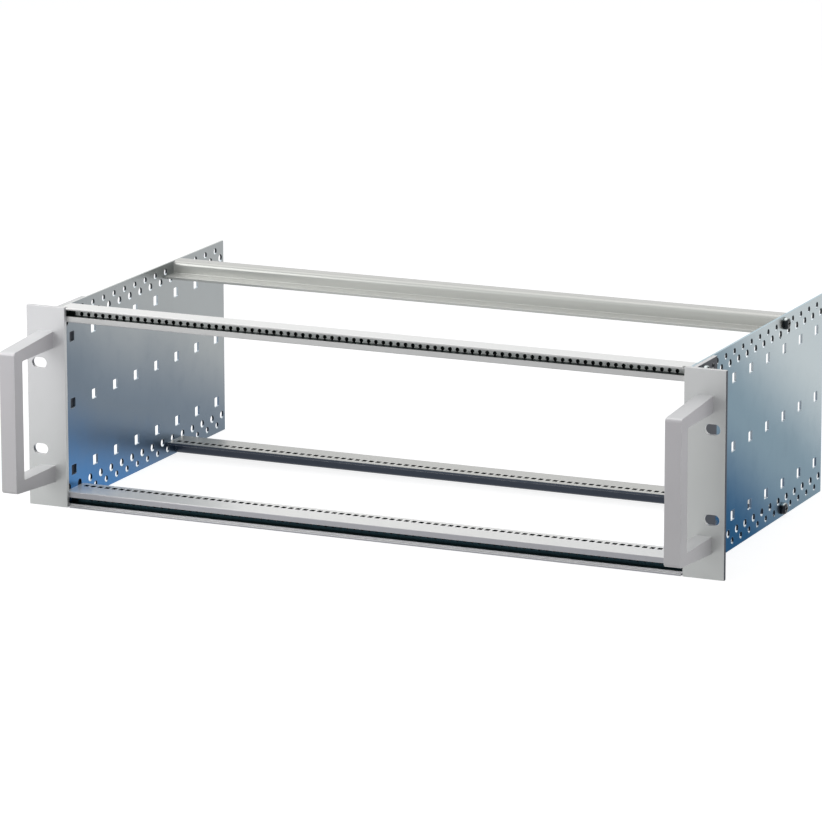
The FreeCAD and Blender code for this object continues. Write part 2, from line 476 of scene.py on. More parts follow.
def handling_marks(group: bpy.types.NodeTree) -> None:
    """Soft clouds and faint smears, as hands and wiping leave them.

    Args:
        group: tree to fill. Its input sets how many marks fit in a metre.
    """
    wiring = Wiring(group)
    first, last = sockets(group, {"Density": 12.0}, ("Marks",))
    place = wiring.add("ShaderNodeTexCoord").outputs["Object"]
    cloud = wiring.ramp(wiring.noise(place, first.outputs["Density"], 4.0), 0.38, 0.68)
    small = wiring.maths("MULTIPLY", first.outputs["Density"], 7.3)
    smear = wiring.ramp(wiring.noise(place, small, 3.0), 0.45, 0.75)
    total = wiring.maths("ADD", wiring.maths("MULTIPLY", cloud, 0.7),
                         wiring.maths("MULTIPLY", smear, 0.3))
    wiring.feed(last.inputs["Marks"], total)


def edge_wear(group: bpy.types.NodeTree) -> None:
    """Mask of the rubbed edges and of a painted highlight along them, where a rounded normal parts
    from the plain one, with noise.

    Args:
        group: tree to fill. Its input sets how strong the rubbing and the painted edge highlight
            are.
    """
    wiring = Wiring(group)
    first, last = sockets(group, {"Reach": 0.5}, ("Mask",))
    soft = wiring.add("ShaderNodeBevel", samples=4)
    soft.inputs["Radius"].default_value = WEAR_AND_HIGHLIGHT_RADIUS
    plain = wiring.add("ShaderNodeNewGeometry").outputs["Normal"]
    place = wiring.add("ShaderNodeTexCoord").outputs["Object"]
    bend = wiring.add("ShaderNodeVectorMath", operation="DOT_PRODUCT")
    wiring.feed(bend.inputs[0], soft.outputs["Normal"])
    wiring.feed(bend.inputs[1], plain)
    edge = wiring.ramp(wiring.maths("SUBTRACT", 1.0, bend.outputs["Value"]), 0.02, 0.25)
    patch = wiring.ramp(wiring.noise(place, 160.0, 4.0), 0.3, 0.6)
    wear_and_highlight = wiring.maths("MULTIPLY", wiring.maths("MULTIPLY", edge, patch), first.outputs["Reach"])
    wiring.feed(last.inputs["Mask"], wear_and_highlight)


@dataclass(frozen=True)
class Tone:
    """Colours of a metal with painted light in them: high and low on the cage, on faces that look
    up, and where it is rubbed.

    The colour goes from low to high along painted_light_slope, and by way of middle if there is
    one. This gradient is painted light and shade, and a painted reflection on the side sheets. The
    up colour is painted shading on faces that look up, and the wear_and_highlight colour is partly
    rubbed wear and partly a painted highlight along the edges.
    """

    high: Colour
    low: Colour
    up: Colour
    wear_and_highlight: Colour
    painted_light_slope: tuple[float, float, float] = (0.0, 0.0, 7.5)
    start: float = 0.5
    middle: Colour | None = None

    def blend(self, wiring: Wiring, wear_and_highlight: bpy.types.NodeSocket,
              marks: bpy.types.NodeSocket) -> bpy.types.NodeSocket:
        """Colour at each point of the surface.

        Args:
            wiring: where the nodes go.
            wear_and_highlight: mask of the rubbed edges, which also carries a painted highlight
                along the edges.
            marks: how strongly the surface is clouded.

        Returns:
            The colour.
        """
        # The height from low to high along painted_light_slope paints light and shade, and on the
        # side sheets a painted reflection.
        place = wiring.add("ShaderNodeTexCoord")
        slope = wiring.add("ShaderNodeVectorMath", operation="DOT_PRODUCT")
        wiring.feed(slope.inputs[0], place.outputs["Object"])
        slope.inputs[1].default_value = self.painted_light_slope
        height = wiring.maths("ADD", slope.outputs["Value"], self.start)
        height = wiring.maths("SUBTRACT", height, marks)
        split = wiring.add("ShaderNodeSeparateXYZ")
        wiring.feed(split.inputs[0], place.outputs["Normal"])
        # Faces that look up take the up colour, painted shading as from the light above.
        painted_up_shading = wiring.ramp(split.outputs["Z"], 0.5, 0.85)
        if self.middle:
            painted_height_shading = wiring.mix(wiring.ramp(height, 0.0, 0.5), rgba(self.low), rgba(self.middle))
            painted_height_shading = wiring.mix(wiring.ramp(height, 0.5, 1.0), painted_height_shading, rgba(self.high))
        else:
            painted_height_shading = wiring.mix(wiring.ramp(height, 0.0, 1.0), rgba(self.low), rgba(self.high))
        return wiring.mix(wear_and_highlight, wiring.mix(painted_up_shading, painted_height_shading, rgba(self.up)), rgba(self.wear_and_highlight))


@dataclass(frozen=True)
class Finish:
    """A metal surface: its colours, with painted light and shade in them, its gloss and the marks
    on it.

    No finish has the name of a slot, because the frame's own materials have those names.
    """

    name: str
    slot: str
    tone: Tone
    metallic: float
    roughness: float
    spread: float
    grain: tuple[float, float, float]
    depth: float
    marks: float
    wear: float
    specular: float = 0.5
    tint: Colour = (1.0, 1.0, 1.0)

    def group(self, wiring: Wiring, effect: Effect, **values: float) -> bpy.types.NodeSocket:
        """First output of an effect, with its inputs set.

        Args:
            wiring: where the group's node goes.
            effect: which effect.
            values: the effect's inputs by name.

        Returns:
            The node's output.
        """
        node = wiring.add("ShaderNodeGroup", node_tree=effect.tree())
        for key, value in values.items():
            node.inputs[key].default_value = value
        return node.outputs[0]

    def material(self) -> bpy.types.Material:
        """The finish as a material, built at its first use."""
        found = bpy.data.materials.get(self.name)
        if found:
            return found
        material = bpy.data.materials.new(self.name)
        material.use_nodes = True
        wiring = Wiring(material.node_tree)
        shader = material.node_tree.nodes["Principled BSDF"]
        x, y, z = self.grain
        grain = self.group(wiring, Effect.DRAWN_GRAIN, X=x, Y=y, Z=z)
        marks = self.group(wiring, Effect.HANDLING_MARKS)
        # The edge mask is partly rubbed wear and partly a painted highlight along the edges.
        wear_and_highlight = self.group(wiring, Effect.EDGE_WEAR, Reach=self.wear)
        clouded = wiring.maths("MULTIPLY", wiring.maths("SUBTRACT", marks, MEAN_MARKS), self.marks)
        wiring.feed(shader.inputs["Base Color"], self.tone.blend(wiring, wear_and_highlight, clouded))
        rough = wiring.maths("ADD", wiring.maths("MULTIPLY", marks, self.spread), self.roughness)
        streak = wiring.maths("MULTIPLY", wiring.maths("SUBTRACT", grain, MEAN_GRAIN), self.spread)
        wiring.feed(shader.inputs["Roughness"], wiring.maths("ADD", rough, streak))
        shader.inputs["Metallic"].default_value = self.metallic
        shader.inputs["Specular IOR Level"].default_value = self.specular
        shader.inputs["Specular Tint"].default_value = rgba(self.tint)
        bump = wiring.add("ShaderNodeBump")
        bump.inputs["Strength"].default_value = self.depth
        bump.inputs["Distance"].default_value = BUMP_DISTANCE
        wiring.feed(bump.inputs["Height"], grain)
        wiring.feed(shader.inputs["Normal"], bump.outputs["Normal"])
        return material


# Painted reflection: both zinc sheets run from grey at the top rear to blue at the bottom front, a
# painted reflection of blue surroundings, and the left sheet is a darker, shaded copy of the right
# one. The right sheet's blue specular tint also colours its reflections blue.
LEFT_SHEET_PAINTED_REFLECTION = Finish(
    "zinc_sheet_left_painted_reflection", "side_sheet",
    Tone(high=(0.315, 0.335, 0.34), low=(0.03, 0.18, 0.44),
         up=(0.66, 0.68, 0.66), wear_and_highlight=(0.66, 0.72, 0.78),
         painted_light_slope=(0.0, 2.4, 6.5), start=0.39, middle=(0.115, 0.155, 0.20)),
    metallic=1.0, roughness=0.30, spread=0.06, grain=(900.0, 900.0, 45.0), depth=0.10, marks=0.05,
    wear=0.5)
RIGHT_SHEET_PAINTED_REFLECTION = Finish(
    "zinc_sheet_right_painted_reflection", "side_sheet",
    Tone(high=(0.58, 0.565, 0.53), low=(0.0, 0.04, 0.125),
         up=(0.66, 0.68, 0.66), wear_and_highlight=(0.66, 0.72, 0.78),
         painted_light_slope=(0.0, 3.4, 5.8), start=0.09, middle=(0.22, 0.258, 0.28)),
    metallic=1.0, roughness=0.30, spread=0.06, grain=(900.0, 900.0, 45.0), depth=0.10, marks=0.05,
    wear=0.5, tint=(0.58, 0.77, 0.91))
# Painted shade: the round holes' walls are near black as shade inside the holes, with a painted
# highlight on the walls that look up.
SHEET_HOLE_PAINTED_SHADE = Finish(
    "sheet_hole_wall_painted_shade", "side_sheet",
    Tone(high=(0.022, 0.026, 0.03), low=(0.012, 0.02, 0.032),
         up=(0.70, 0.76, 0.80), wear_and_highlight=(0.3, 0.34, 0.38)),
    metallic=0.9, roughness=0.34, spread=0.12, grain=(900.0, 900.0, 60.0), depth=0.2, marks=0.2,
    wear=0.2)
# Painted light: the cut-out walls are a lighter copy of the hole walls, darker towards the bottom,
# with a painted highlight on the walls that look up.
SHEET_CUTOUT_PAINTED_LIGHT = Finish(
    "sheet_cutout_wall_painted_light", "side_sheet",
    Tone(high=(0.36, 0.40, 0.43), low=(0.10, 0.15, 0.22),
         up=(0.70, 0.76, 0.80), wear_and_highlight=(0.5, 0.55, 0.6)),
    metallic=0.9, roughness=0.34, spread=0.12, grain=(900.0, 900.0, 60.0), depth=0.2, marks=0.2,
    wear=0.3)
# Painted light and shade: front and rear rails are lit and shaded copies of one aluminium, each
# lighter at the top of the cage and darker at the bottom, with painted light on faces that look up;
# the bottom rear rail is near black-blue as painted shade.
FRONT_RAIL_PAINTED_LIGHT = Finish(
    "front_rail_painted_light", "rail_aluminium",
    Tone(high=(0.72, 0.72, 0.71), low=(0.50, 0.50, 0.53),
         up=(0.98, 0.98, 0.96), wear_and_highlight=(0.97, 0.97, 0.97)),
    metallic=0.25, roughness=0.30, spread=0.06, grain=(12.0, 1200.0, 1200.0), depth=0.08,
    marks=0.05, wear=0.8)
REAR_RAIL_PAINTED_SHADE = Finish(
    "rear_rail_painted_shade", "rail_aluminium",
    Tone(high=(0.58, 0.59, 0.56), low=(0.04, 0.055, 0.085),
         up=(0.62, 0.62, 0.59), wear_and_highlight=(0.95, 0.95, 0.93)),
    metallic=0.35, roughness=0.30, spread=0.06, grain=(12.0, 1200.0, 1200.0), depth=0.08,
    marks=0.05, wear=0.8)
# Painted shade: the guide slot and screw core walls are darkened to show shade inside them, lighter
# on the top rails.
RAIL_SLOT_PAINTED_SHADE = Finish(
    "rail_slot_wall_painted_shade", "rail_aluminium",
    Tone(high=(0.46, 0.46, 0.42), low=(0.012, 0.014, 0.016),
         up=(0.40, 0.40, 0.37), wear_and_highlight=(0.5, 0.5, 0.48)),
    metallic=0.8, roughness=0.4, spread=0.12, grain=(900.0, 900.0, 900.0), depth=0.2, marks=0.2,
    wear=0.3)
# Painted shade: the walls of the strip's channel are near black as shade inside the channel.
RAIL_CHANNEL_PAINTED_SHADE = Finish(
    "rail_channel_painted_shade", "rail_aluminium",
    Tone(high=(0.05, 0.065, 0.06), low=(0.012, 0.030, 0.036),
         up=(0.045, 0.065, 0.06), wear_and_highlight=(0.2, 0.22, 0.21)),
    metallic=0.9, roughness=0.38, spread=0.08, grain=(30.0, 2500.0, 2500.0), depth=0.1, marks=0.1,
    wear=0.3)
# Painted light: the flange is lighter at the top left and darker towards the lower right, as the
# key lamp's light falls on it.
FLANGE_METAL_PAINTED_LIGHT = Finish(
    "flange_metal_painted_light", "flange_aluminium",
    Tone(high=(0.74, 0.74, 0.75), low=(0.59, 0.605, 0.595),
         up=(0.72, 0.72, 0.72), wear_and_highlight=(0.95, 0.95, 0.95),
         painted_light_slope=(-1.2, 0.0, 7.0), start=0.32),
    metallic=0.45, roughness=0.36, spread=0.08, grain=(1800.0, 1800.0, 120.0), depth=0.10,
    marks=0.12, wear=0.7)
# Painted shade: the leg is the same aluminium as the flange, painted dark as the shade behind the
# flange, and its low specular level keeps it dark.
FLANGE_LEG_PAINTED_SHADE = Finish(
    "flange_leg_painted_shade", "flange_aluminium",
    Tone(high=(0.10, 0.105, 0.12), low=(0.06, 0.07, 0.09),
         up=(0.42, 0.45, 0.48), wear_and_highlight=(0.55, 0.57, 0.60)),
    metallic=0.3, roughness=0.50, spread=0.06, grain=(1800.0, 60.0, 1800.0), depth=0.10, marks=0.1,
    wear=0.5, specular=0.1)
# Painted light: the handle is a little lighter at the top of the cage, lighter on faces that look
# up, and has a painted highlight along its edges.
HANDLE_METAL_PAINTED_LIGHT = Finish(
    "handle_metal_painted_light", "handle_aluminium",
    Tone(high=(0.635, 0.62, 0.64), low=(0.58, 0.57, 0.58),
         up=(0.78, 0.78, 0.785), wear_and_highlight=(0.97, 0.97, 0.97)),
    metallic=0.3, roughness=0.42, spread=0.12, grain=(2200.0, 2200.0, 110.0), depth=0.22,
    marks=0.12, wear=0.9)
# Painted light and shade: the top strips are a near white lit copy and the bottom strips a near
# black shaded copy of one zinc strip; faces that look up carry painted shade.
STRIP_PAINTED_LIGHT = Finish(
    "zinc_strip", "strip_steel",
    Tone(high=(0.95, 0.98, 0.96), low=(0.95, 0.98, 0.96),
         up=(0.10, 0.12, 0.12), wear_and_highlight=(0.6, 0.66, 0.66)),
    metallic=0.2, roughness=0.34, spread=0.12, grain=(60.0, 1500.0, 1500.0), depth=0.14, marks=0.1,
    wear=0.3)
LOW_STRIP_PAINTED_SHADE = Finish(
    "zinc_strip_low_painted_shade", "strip_steel",
    Tone(high=(0.02, 0.05, 0.065), low=(0.02, 0.05, 0.065),
         up=(0.10, 0.12, 0.12), wear_and_highlight=(0.10, 0.16, 0.18)),
    metallic=0.6, roughness=0.34, spread=0.12, grain=(60.0, 1500.0, 1500.0), depth=0.14, marks=0.1,
    wear=0.3, specular=0.2)
# Painted shade: the thread walls are near black as shade inside the threaded holes.
STRIP_THREAD_PAINTED_SHADE = Finish(
    "strip_thread_wall_painted_shade", "strip_steel",
    Tone(high=(0.008, 0.010, 0.010), low=(0.006, 0.009, 0.010),
         up=(0.012, 0.014, 0.014), wear_and_highlight=(0.05, 0.05, 0.05)),
    metallic=0.7, roughness=0.45, spread=0.12, grain=(3000.0, 3000.0, 3000.0), depth=0.3,
    marks=0.2, wear=0.2)
# Painted highlight: the black screw's faces that look up are light, a painted highlight on the top
# of its dome.
SCREW_STEEL = Finish(
    "black_screw", "screw_steel",
    Tone(high=(0.012, 0.015, 0.018), low=(0.012, 0.015, 0.02),
         up=(0.50, 0.54, 0.54), wear_and_highlight=(0.3, 0.32, 0.34)),
    metallic=0.85, roughness=0.16, spread=0.08, grain=(900.0, 900.0, 900.0), depth=0.1, marks=0.3,
    wear=0.1)


@dataclass
class Cage:
    """The places that all pieces share, in millimetres."""

    half_height: float = 66.275
    panel_inner: float = 216.5
    panel_outer: float = 218.0
    leg_outer: float = 221.0
    flange_inner: float = 213.7
    flange_outer: float = 241.3
    flange_front: float = -3.0
    width_unit: float = 5.08
    unit_count: int = 84
    screw_inset: float = 5.4
    front_screw_y: float = 12.5
    rear_screw_y: float = 162.5

    @classmethod
    def from_frame(cls) -> "Cage":
        """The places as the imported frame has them."""
        panel_low, panel_high = (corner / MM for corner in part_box("side_panel_right"))
        flange_low, flange_high = (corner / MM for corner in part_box("rack_flange_right"))
        screw_low, screw_high = (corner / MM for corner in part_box("rail_screws_rear_right"))
        return cls(half_height=panel_high.z, panel_inner=panel_low.x, panel_outer=panel_high.x,
                   leg_outer=panel_high.x - flange_low.y, flange_inner=flange_low.x,
                   flange_outer=flange_high.x, flange_front=flange_low.y,
                   rear_screw_y=(screw_low.y + screw_high.y) / 2)

    @property
    def flange_middle(self) -> float:
        """X of the handle's middle."""
        return (self.flange_inner + self.flange_outer) / 2

    def height(self, inset: float, level: Level) -> float:
        """Z of a place that lies inset from the top or bottom face."""
        return level.value * (self.half_height - inset)

    def unit_middles(self) -> list[float]:
        """X of the middle of each width unit."""
        return [(k + 0.5 - self.unit_count / 2) * self.width_unit for k in range(self.unit_count)]


@dataclass
class SidePanels:
    """The two perforated side sheets."""

    cage: Cage
    depth: float = 235.0
    edge: float = 0.15
    pitch: float = 15.0
    screw_hole_radius: float = 2.15
    screw_hole_start: float = 12.5
    locating_hole_radius: float = 2.6
    locating_hole_start: float = 5.0
    locating_inset: float = 11.4
    cutout_width: float = 6.5
    cutout_radius: float = 0.7
    cutout_pitch: float = 30.0
    cutout_inset: float = 22.0
    corner_radius: float = 0.5

    def row(self, start: float, pitch: float) -> list[float]:
        """Y of each hole of a row that starts and ends at the same margin."""
        count = int((self.depth - 2 * start) / pitch + 0.001) + 1
        return [start + k * pitch for k in range(count)]

    def holes(self) -> list[Loop]:
        """All holes of one panel as (y, z) loops."""
        loops = []
        for level in Level:
            z = self.cage.height(self.cage.screw_inset, level)
            loops += [circle(y, z, self.screw_hole_radius)
                      for y in self.row(self.screw_hole_start, self.pitch)]
            z = self.cage.height(self.locating_inset, level)
            loops += [circle(y, z, self.locating_hole_radius)
                      for y in self.row(self.locating_hole_start, self.pitch)]
        for z in (self.cage.height(self.cutout_inset, Level.TOP), 0.0,
                  self.cage.height(self.cutout_inset, Level.BOTTOM)):
            loops += [rectangle(y, z, self.cutout_width, self.cutout_width, self.cutout_radius)
                      for y in self.row(self.screw_hole_start, self.cutout_pitch)]
        return loops

    def build(self) -> None:
        """Make both panels."""
        thickness = self.cage.panel_outer - self.cage.panel_inner
        middle = (self.cage.panel_outer + self.cage.panel_inner) / 2
        outline = rectangle(self.depth / 2, 0.0, self.depth, 2 * self.cage.half_height,
                            self.corner_radius)
        limit = self.cage.half_height - (self.locating_inset + self.cutout_inset) / 2
        stand = Matrix(((0, 0, 1, middle), (1, 0, 0, 0), (0, 1, 0, 0), (0, 0, 0, 1)))
        for side, sheet in ((Side.LEFT, LEFT_SHEET_PAINTED_REFLECTION), (Side.RIGHT, RIGHT_SHEET_PAINTED_REFLECTION)):
            shape = punched_sheet(outline, self.holes(), thickness, self.edge)
            bmesh.ops.transform(shape.bm, matrix=stand, verts=shape.bm.verts)
            # Cut-out walls near mid-height get finish 2, the lighter painted copy of the hole
            # walls.
            for face in shape.bm.faces:
                if face.material_index == 1 and abs(face.calc_center_median().z) < limit:
                    face.material_index = 2
            shape.mirrored(side).piece(f"sheet_{side.word}", (sheet, SHEET_HOLE_PAINTED_SHADE, SHEET_CUTOUT_PAINTED_LIGHT),
                                       f"side_panel_{side.word}")


@dataclass
class RackFlanges:
    """The two angles that carry the cage in a rack."""

    cage: Cage
    leg_depth: float = 35.0
    root_radius: float = 1.2
    corner_radius: float = 0.5
    edge: float = 0.3
    slot_x: float = 232.55
    slot_z: float = 28.575
    slot_length: float = 10.3
    slot_width: float = 6.8
    sink_z: float = 44.45
    sink_mouth: float = 4.0
    hole_radius: float = 2.15
    leg_hole_pitch: float = 15.0
    leg_hole_count: int = 2
    overshoot: float = 2.0

    def section(self) -> Loop:
        """Outline of the angle as (x, y) points."""
        cage, soft = self.cage, self.corner_radius
        return rounded([(cage.flange_inner, cage.flange_front, soft),
                        (cage.flange_outer, cage.flange_front, soft), (cage.flange_outer, 0, soft),
                        (cage.leg_outer, 0, self.root_radius),
                        (cage.leg_outer, self.leg_depth, soft),
                        (cage.panel_outer, self.leg_depth, soft), (cage.panel_outer, 0, 0),
                        (cage.flange_inner, 0, soft)])

    def cutters(self) -> Shape:
        """Everything that is cut out of one flange."""
        cage, tool = self.cage, Shape()
        start, end = cage.flange_front - self.overshoot, self.overshoot
        for level in Level:
            slot = rectangle(self.slot_x, level.value * self.slot_z, self.slot_length,
                             self.slot_width, self.slot_width / 2 - 0.01)
            tool.prism(slot, Axis.Y, start, end)
            cone = self.sink_mouth - self.hole_radius
            tool.lathe([(start, 0), (start, self.hole_radius), (-cone, self.hole_radius),
                        (0.01, self.sink_mouth), (0.01, 0)],
                       Axis.Y, (cage.flange_middle, level.value * self.sink_z))
            for k in range(self.leg_hole_count):
                y = cage.front_screw_y + k * self.leg_hole_pitch
                tool.prism(circle(y, cage.height(cage.screw_inset, level), self.hole_radius),
                           Axis.X, cage.panel_inner, cage.leg_outer + self.overshoot)
        return tool

    def build(self) -> None:
        """Make both flanges."""
        half_height, outer = self.cage.half_height, self.cage.flange_outer
        for side in Side:
            shape = Shape().prism(self.section(), Axis.Z, -half_height, half_height)
            shape.cut(self.cutters()).round_edges(self.edge)
            # The leg's side faces get finish 1, a painted dark shade.
            for face in shape.bm.faces:
                spot = face.calc_center_median()
                leg_painted_shade = spot.y > self.edge or spot.x > outer - self.edge / 2
                if leg_painted_shade and abs(face.normal.z) <= 0.5:
                    face.material_index = 1
            shape.mirrored(side).piece(f"angle_{side.word}", (FLANGE_METAL_PAINTED_LIGHT, FLANGE_LEG_PAINTED_SHADE),
                                       f"rack_flange_{side.word}")


@dataclass
class Handles:
    """The two bow handles."""

    cage: Cage
    height: float = 100.0
    reach: float = 53.0
    width: float = 11.0
    taper: float = 3.6
    leg: float = 11.1
    corner_radius: float = 2.5
    inner_radius: float = 1.0
    edge: float = 0.45
    arc_step: float = 0.12

    def section(self) -> Loop:
        """Outline of the bow as (y, z) points."""
        base = self.cage.flange_front
        front = base - self.reach
        grip = front + self.width
        top = self.height / 2
        front_top = top - self.taper
        inside = top - self.leg
        return rounded([(base, top, 0), (front, front_top, self.corner_radius),
                        (front, -front_top, self.corner_radius), (base, -top, 0),
                        (base, -inside, 0), (grip, -inside, self.inner_radius),
                        (grip, inside, self.inner_radius), (base, inside, 0)], self.arc_step)

    def build(self) -> None:
        """Make both handles."""
        start = self.cage.flange_middle - self.width / 2
        for side in Side:
            shape = Shape().prism(self.section(), Axis.X, start, start + self.width)
            shape.round_edges(self.edge, ahead_of=self.cage.flange_front - self.edge)
            shape.mirrored(side).piece(f"bow_{side.word}", (HANDLE_METAL_PAINTED_LIGHT,), f"handle_{side.word}")


@dataclass
class Rails:
    """The four extruded and punched module rails."""

    cage: Cage
    inset: float = 10.05
    plate: float = 1.75
    lip_reach: float = 3.0
    lip: float = 1.35
    lip_end: float = 212.5
    front_wall_end: float = 12.0
    front_boss_end: float = 15.7
    front_plate_end: float = 25.0
    front_guide_y: float = 18.7
    rear_seat_y: float = 169.93
    rear_boss_end: float = 159.3
    rear_plate_end: float = 147.3
    rear_guide_y: float = 153.6
    boss_radius: float = 3.2
    core_radius: float = 2.0
    strip_middle: float = 5.025
    strip_half: float = 3.15
    passage_half: float = 1.55
    front_passage_near: float = 2.2
    front_passage_far: float = 6.2
    strip_y: float = 6.0
    strip_depth: float = 2.65
    rear_wall: float = 1.5
    soft: float = 0.3
    lip_tip: float = 0.6
    lip_back: float = 0.5
    seat_radius: float = 0.8
    mouth_radius: float = 0.25
    boss_root: float = 0.2
    plate_root: float = 0.5
    rear_corner: float = 0.4
    slot_width: float = 3.2
    slot_depth: float = 4.0
    slot_radius: float = 0.35
    overshoot: float = 2.0

    def front_corners(self) -> list[Corner]:
        """(y, inset, radius) corners of the front rail."""
        near, far = self.front_passage_near, self.front_passage_far
        low, high = self.strip_middle - self.strip_half, self.strip_middle + self.strip_half
        back, boss = self.strip_y + self.strip_depth, self.cage.screw_inset - self.boss_radius
        seat, top = self.inset - self.plate, 0.0
        seat_corner, mouth = self.seat_radius, self.mouth_radius
        return [(-self.lip_reach, top, self.lip_tip), (self.front_wall_end, top, self.soft),
                (self.front_wall_end, boss, self.boss_root),
                (self.front_boss_end, boss, self.boss_radius - 0.01),
                (self.front_boss_end, seat, self.plate_root),
                (self.front_plate_end, seat, self.soft),
                (self.front_plate_end, self.inset, self.soft), (0, self.inset, seat_corner),
                (0, far, mouth), (self.strip_y, far, 0), (self.strip_y, high, 0),
                (back, high, 0), (back, low, 0), (self.strip_y, low, 0), (self.strip_y, near, 0),
                (0, near, mouth), (0, self.lip, self.soft),
                (-self.lip_reach, self.lip, self.lip_back)]

    def rear_corners(self) -> list[Corner]:
        """(y, inset, radius) corners of the rear rail."""
        near, far = self.strip_middle - self.passage_half, self.strip_middle + self.passage_half
        low, high = self.strip_middle - self.strip_half, self.strip_middle + self.strip_half
        seat, inside = self.rear_seat_y, self.rear_seat_y - self.rear_wall
        front, plate = inside - self.strip_depth, self.inset - self.plate
        mouth = self.mouth_radius
        return [(self.rear_boss_end, 0, self.boss_radius), (seat, 0, self.rear_corner),
                (seat, near, mouth), (inside, near, 0), (inside, low, 0), (front, low, 0),
                (front, high, 0), (inside, high, 0), (inside, far, 0), (seat, far, mouth),
                (seat, self.inset, self.seat_radius), (self.rear_plate_end, self.inset, self.soft),
                (self.rear_plate_end, plate, self.soft),
                (self.rear_boss_end, plate, self.plate_root)]

    def cutters(self, screw_y: float, guide_y: float | None, level: Level) -> Shape:
        """The screw core and, if the rail has them, the row of guide slots."""
        cage, tool = self.cage, Shape()
        reach = cage.panel_inner + self.overshoot
        tool.prism(circle(screw_y, cage.height(cage.screw_inset, level), self.core_radius),
                   Axis.X, -reach, reach)
        ends = sorted(cage.height(h, level) for h in (self.inset + 1, self.inset - self.plate - 1))
        for x in cage.unit_middles() if guide_y else ():
            slot = rectangle(x, guide_y, self.slot_width, self.slot_depth, self.slot_radius)
            tool.prism(slot, Axis.Z, *ends)
        return tool

    def rail(self, corners: list[Corner], screw_y: float,
             guide_y: float | None, level: Level) -> Shape:
        """One rail.

        Args:
            corners: (y, inset, radius) corners of its section.
            screw_y: where its screw core runs.
            guide_y: middle of its guide slots, if it has any.
            level: top or bottom.

        Returns:
            The finished rail.
        """
        cage = self.cage
        loop = rounded([(y, cage.height(inset, level), radius) for y, inset, radius in corners])
        shape = Shape().prism(loop, Axis.X, -cage.panel_inner, cage.panel_inner)
        # The core and guide slot walls take finish 1, a painted dark shade.
        shape.cut(self.cutters(screw_y, guide_y, level).as_shaded_walls())
        self.paint_channel_shade(shape, max(y for y, inset, radius in corners), level)
        return shape

    def paint_channel_shade(self, shape: Shape, seat_y: float, level: Level) -> None:
        """Give the walls of the strip's channel their own finish, a painted dark shade in the
        channel.

        Args:
            shape: the rail.
            seat_y: rear end of the rail's section.
            level: top or bottom.
        """
        reach = self.strip_y + self.strip_depth + 0.1
        start = 0.5 if seat_y < self.rear_plate_end else seat_y - reach
        far = self.strip_middle + self.strip_half + 0.1
        near = self.strip_middle - self.strip_half - 0.1
        for face in shape.bm.faces:
            spot = face.calc_center_median()
            inset = self.cage.half_height - level.value * spot.z
            in_channel = start < spot.y < start + reach - 0.5 and near < inset < far
            if in_channel and abs(face.normal.x) < 0.5:
                face.material_index = 2

    def build(self) -> None:
        """Make the four rails."""
        cage = self.cage
        for level in Level:
            front = self.rail(self.front_corners(), cage.front_screw_y, self.front_guide_y, level)
            relief = Shape()
            for side in Side:
                ends = sorted((side.value * self.lip_end, side.value * cage.flange_outer))
                ahead = rectangle(-self.lip_reach, 0, 2 * self.lip_reach, 4 * cage.half_height)
                relief.prism(ahead, Axis.X, *ends)
            front.cut(relief)
            front.piece(f"extrusion_front_{level.word}", (FRONT_RAIL_PAINTED_LIGHT, RAIL_SLOT_PAINTED_SHADE, RAIL_CHANNEL_PAINTED_SHADE),
                        f"front_rail_{level.word}")
            guide_y = self.rear_guide_y if level is Level.BOTTOM else None
            rear = self.rail(self.rear_corners(), cage.rear_screw_y, guide_y, level)
            rear.piece(f"extrusion_rear_{level.word}", (REAR_RAIL_PAINTED_SHADE, RAIL_SLOT_PAINTED_SHADE, RAIL_CHANNEL_PAINTED_SHADE),
                       f"rear_rail_{level.word}")


@dataclass
class ThreadedStrips:
    """The four bars with panel threads that lie in the rails."""

    cage: Cage
    edge: float = 0.2
    corner_radius: float = 0.3
    thread_radius: float = 1.25
    thread_steps: int = 20

    def build(self) -> None:
        """Make the four strips."""
        places = self.cage.unit_middles()[1:-1]
        for where in ("front", "rear"):
            for level in Level:
                word = f"{where}_{level.word}"
                node = f"threaded_strip_{word}"
                low, high = (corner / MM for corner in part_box(node))
                middle = (low + high) / 2
                size = high - low
                holes = [circle(x, middle.z, self.thread_radius, self.thread_steps)
                         for x in places]
                outline = rectangle(middle.x, middle.z, size.x, size.z, self.corner_radius)
                shape = punched_sheet(outline, holes, size.y, self.edge)
                stand = Matrix(((1, 0, 0, 0), (0, 0, -1, middle.y), (0, 1, 0, 0), (0, 0, 0, 1)))
                bmesh.ops.transform(shape.bm, matrix=stand, verts=shape.bm.verts)
                # Top strips take the lit copy of the strip finish and bottom strips the shaded
                # copy.
                painted_strip_finish = STRIP_PAINTED_LIGHT if level is Level.TOP else LOW_STRIP_PAINTED_SHADE
                shape.piece(f"thread_bar_{word}", (painted_strip_finish, STRIP_THREAD_PAINTED_SHADE), node)


